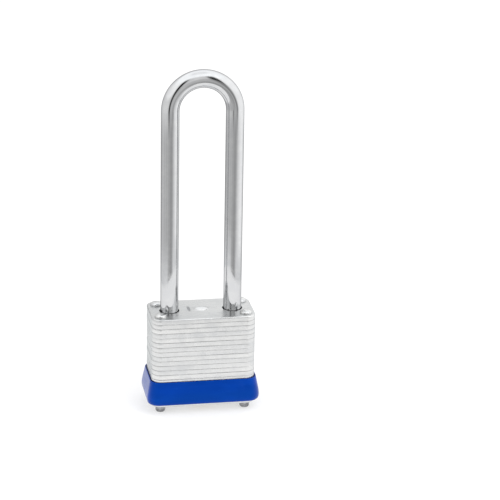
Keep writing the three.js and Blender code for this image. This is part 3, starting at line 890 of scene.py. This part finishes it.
def keyway_points():
    """The slot for the key, with a ward on each side."""
    half, front, back, ward = 0.9, -2.7, 1.5, 0.45
    right = [(half, front), (half, front + 0.9), (half - ward, front + 1.1),
             (half - ward, front + 1.7), (half, front + 1.9), (half, back)]
    left = [(-half, back), (-half, back - 0.7), (ward - half, back - 0.9), (ward - half, back - 1.4),
            (-half, back - 1.6)]
    return [in_plug(x, y)[:2] for x, y in [(-half, front)] + right + left]


def plug_profile():
    rim = level(1) + 0.1
    nose = [(0, 2.35), (2.72, 2.35), (2.88, 2.40), (2.97, 2.50), (3.0, 2.65), (3.0, rim)]
    return nose + [(3.32, rim), (PLUG_RADIUS, rim + 0.1), (PLUG_RADIUS, PLUG_TOP - 0.15),
                   (3.3, PLUG_TOP), (0, PLUG_TOP)]


plug = lathe("plug_turned", plug_profile(), BRASS, sides=72, centre=(0, PLUG_Y, 0))
cutters = [prism_piece("cut_keyway", keyway_points(), 0, 17.6)]
for i, z in enumerate(PIN_Z):
    cutters.append(cylinder_cutter(f"cut_pin_{i}", CHAMBER, in_plug(0, -0.8, z), in_plug(0, 4.5, z)))
socket = [in_plug(x, y)[:2] for x, y in [(-1.6, -0.8), (1.6, -0.8), (1.6, 0.8), (-1.6, 0.8)]]
cutters.append(prism_piece("cut_socket", socket, PLUG_TOP - 1.4, 21))
cut_away(plug, cutters)
add_bevel(plug, 0.05, 2, 50)
finish_shading(plug, 40)
keep_as(plug, "plug", "plug")

for i, (z, length) in enumerate(zip(PIN_Z, PIN_LENGTHS), start=1):
    # The pin's blunt end faces out along -X, and its point faces the keyway.
    profile = [(0, 0), (0.6, 0), (0.75, 0.05), (0.82, 0.18), (0.82, length - 0.45),
               (0.32, length - 0.03), (0.2, length), (0, length)]
    pin = lathe(f"key_pin_{i}_turned", profile, BRASS, sides=28, centre=(-3.3, PLUG_Y, z), axis="X")
    keep_as(pin, f"key_pin_{i}", f"key_pin_{i}")

# ------------------------------------------------------------------ levers and cam

for name, mat in (("front_lever", LEVER), ("rear_lever", LEVER), ("plug_cam", BRASS)):
    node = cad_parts[name]
    node.data.materials.clear()
    node.data.materials.append(mat)
    node.data.shade_smooth()
    node.data.set_sharp_from_angle(angle=math.radians(40))
    add_bevel(node, 0.06, 2, 40)


def pivot_profile():
    low, high = level(STOP) + 0.1, level(PIVOT_CAP + 1) - 0.1
    bottom = [(0, low), (0.68, low), (0.77, low + 0.05), (PIVOT_PIN, low + 0.14)]
    return bottom + [(PIVOT_PIN, high - 0.14), (0.77, high - 0.05), (0.68, high), (0, high)]


for name, side in (("front_lever_pivot", 1), ("rear_lever_pivot", -1)):
    pin = lathe(f"{name}_turned", pivot_profile(), SPRING, sides=32,
                centre=(side * PIVOT_X, -side * PIVOT_Y, 0))
    keep_as(pin, name, "case")

spring_low, spring_high = 0.65, 3.45
place = Matrix.Translation((spring_low, ARM_Y, (LEVER_FLOOR + LEVER_ROOF) / 2))
coil = coil_piece("lever_spring_coil", 0.62, 0.13, spring_high - spring_low, 5,
                  place @ Matrix.Rotation(math.pi / 2, 4, "Y"), steps=24, sides=8)
stretch_as(coil, "lever_spring")

# ------------------------------------------------------------------ floor and world

scene = bpy.context.scene


def floor_material():
    """Pale paper; half of its brightness comes from a light table under it."""
    n = Nodes("floor_paper")
    color = n.mix(n.noise(3.0, detail=2.0), (0.50, 0.50, 0.50), (0.53, 0.53, 0.53))
    return n.out(color, None, None, Roughness=0.9, Specular_IOR_Level=0.1,
                 Emission_Color=(1, 1, 1, 1), Emission_Strength=0.5)


FLOOR_REACH = 12  # metres from the middle to each side
floor_corners = [(x * FLOOR_REACH, y * FLOOR_REACH, 0) for x, y in [(-1, -1), (1, -1), (1, 1), (-1, 1)]]
floor_mesh = bpy.data.meshes.new("floor")
floor_mesh.from_pydata(floor_corners, [], [(0, 1, 2, 3)])
floor = bpy.data.objects.new("floor", floor_mesh)
scene.collection.objects.link(floor)
floor_mesh.materials.append(floor_material())

world = bpy.data.worlds.new("studio")
scene.world = world
world.use_nodes = True
world.node_tree.nodes["Background"].inputs["Color"].default_value = (1, 1, 1, 1)
world.node_tree.nodes["Background"].inputs["Strength"].default_value = 1.0

# ------------------------------------------------------------------ light tent

# What a mirror sees on the tent's wall, as (compass direction in degrees, light) stops: 0 is the
# front and 90 is the +X side. The straight legs see the low wall and the bow sees the high wall.
# The dark stops are the slits between the tent's panels.
LOW_WALL = [(-180, 0.65), (-150, 0.60), (-138, 0.66), (-124, 0.61), (-110, 0.74), (-96, 0.70),
            (-82, 0.60), (-68, 0.66), (-54, 0.57), (-42, 0.62), (-28, 0.53), (-14, 0.50), (0, 0.42),
            (10, 0.45), (20, 0.54), (40, 0.88), (60, 1.10), (80, 1.25), (100, 1.24), (120, 1.02),
            (140, 0.82), (157, 0.60), (180, 0.65)]
MID_WALL = [(-180, 0.95), (-150, 0.80), (-135, 0.88), (-60, 0.92), (-42, 0.86), (-36, 0.60),
            (-32, 0.08), (-21, 0.08), (-15, 0.62), (0, 0.66), (11, 0.60), (18, 0.30), (28, 0.34),
            (37, 0.95), (45, 1.20), (120, 1.30), (140, 1.20), (165, 1.12), (180, 0.95)]
HIGH_WALL = [(-180, 0.95), (-150, 0.90), (-135, 1.05), (-60, 1.22), (-42, 1.15), (-37, 0.80),
             (-34, 0.03), (-21, 0.03), (-15, 0.76), (0, 0.90), (12, 0.80), (17, 0.04), (28, 0.04),
             (34, 1.05), (45, 1.28), (120, 1.36), (140, 1.18), (180, 0.95)]
FULL_LIGHT = 1.45  # the light at which a stop is white
TENT_STRENGTH = 1.52
TENT_RADIUS = 0.107  # metres, as the heights below
TO_MID, TO_HIGH, TO_ROOF, TO_TOP = (0.047, 0.062), (0.095, 0.120), (0.150, 0.215), (0.27, 0.31)
SWEEP_HEIGHT = 0.018


def tent_material():
    """The light that the tent sends out, by compass direction and height."""
    n = Nodes("tent")
    xyz = n.xyz()
    angle = n.calc("ARCTAN2", xyz["X"], n.calc("MULTIPLY", xyz["Y"], -1.0))
    turn = n.calc("ADD", n.calc("MULTIPLY", angle, 1 / TAU), 0.5)

    def wall(stops):
        ramp = n.node("ShaderNodeValToRGB")
        n.link(turn, ramp.inputs["Fac"])
        elements = ramp.color_ramp.elements
        while len(elements) < len(stops):
            elements.new(0.5)
        for element, (degrees, light) in zip(elements, stops):
            element.position = (degrees + 180) / 360
            element.color = (*[light / FULL_LIGHT] * 3, 1)
        return ramp.outputs["Color"]

    def above(low, high):
        return n.ramp(xyz["Z"], low, high, 0.0, 1.0)

    color = n.mix(above(*TO_MID), wall(LOW_WALL), wall(MID_WALL))
    color = n.mix(above(*TO_HIGH), color, wall(HIGH_WALL))
    color = n.mix(above(*TO_ROOF), color, (0.94, 0.955, 0.965))
    color = n.mix(above(*TO_TOP), color, (0.80, 0.81, 0.82))
    # The paper curves up into the wall, except in front.
    aside = n.ramp(n.calc("ABSOLUTE", n.calc("ADD", angle, 0.05)), 0.25, 0.8, 0.0, 1.0)
    sweep = n.calc("MULTIPLY", n.ramp(xyz["Z"], 0.0, SWEEP_HEIGHT, 1.0, 0.0), aside)
    color = n.mix(sweep, color, (0.60, 0.605, 0.61))
    emit = n.node("ShaderNodeEmission", Strength=TENT_STRENGTH)
    n.link(color, emit.inputs["Color"])
    n.link(emit.outputs[0], n.tree.nodes["Material Output"].inputs["Surface"])
    n.tree.nodes.remove(n.bsdf)
    return n.mat


def add_tent():
    """A round studio tent that only mirrors see."""
    sides = 96
    rows = [(1.0, 0.0001), (1.0, 0.12), (1.0, 0.2), (0.8, 0.27), (0.4, 0.31)]
    verts, loops = [], []
    for share, z in rows:
        start = len(verts)
        for k in range(sides):
            a, r = TAU * k / sides, TENT_RADIUS * share
            verts.append((r * math.sin(a), -r * math.cos(a), z))
        loops.append(list(range(start, len(verts))))
    faces = []
    for a, b in zip(loops, loops[1:]):
        faces += quads(a, b)
    faces.append(tuple(loops[-1]))
    mesh = bpy.data.meshes.new("tent")
    mesh.from_pydata(verts, [], faces)
    mesh.materials.append(tent_material())
    obj = bpy.data.objects.new("tent", mesh)
    scene.collection.objects.link(obj)
    obj.visible_camera = False
    obj.visible_diffuse = False
    obj.visible_shadow = False
    obj.visible_transmission = False
    obj.visible_volume_scatter = False


add_tent()

# ------------------------------------------------------------------ lamps and camera


LOCK_MIDDLE = Vector((0, 0, 0.04))


def softbox(name, location, power):
    """A square lamp half a metre across that faces the padlock."""
    data = bpy.data.lights.new(name, "AREA")
    data.shape = "RECTANGLE"
    data.size = data.size_y = 0.5
    data.energy = power
    obj = bpy.data.objects.new(name, data)
    obj.location = location
    direction = LOCK_MIDDLE - Vector(location)
    obj.rotation_euler = direction.to_track_quat("-Z", "Y").to_euler()
    scene.collection.objects.link(obj)


softbox("key", (0.35, -0.45, 0.65), 2.2)
softbox("fill", (-0.6, -0.3, 0.4), 0.8)

# A long lens from the front left and a little above, with a slight tilt.
AZIMUTH, ELEVATION, ROLL = math.radians(-10.66), math.radians(19.37), math.radians(1.07)
DISTANCE, TARGET = 0.566, Vector((0.01363, 0, 0.04484))
LENS, SENSOR = 147.24, 36


def camera_place():
    outward = Vector((math.sin(AZIMUTH), -math.cos(AZIMUTH), 0))
    back = outward * math.cos(ELEVATION) + Vector((0, 0, math.sin(ELEVATION)))
    right = Vector((math.cos(AZIMUTH), math.sin(AZIMUTH), 0))
    up = back.cross(right)
    rolled_right = right * math.cos(ROLL) + up * math.sin(ROLL)
    rolled_up = up * math.cos(ROLL) - right * math.sin(ROLL)
    matrix = Matrix((rolled_right, rolled_up, back)).transposed().to_4x4()
    matrix.translation = TARGET + back * DISTANCE
    return matrix


cam_data = bpy.data.cameras.new("camera")
cam_data.sensor_width = SENSOR
cam_data.lens = LENS
cam_data.clip_start = 0.01
camera = bpy.data.objects.new("camera", cam_data)
scene.collection.objects.link(camera)
camera.matrix_world = camera_place()
scene.camera = camera
scene.view_settings.view_transform = "Standard"
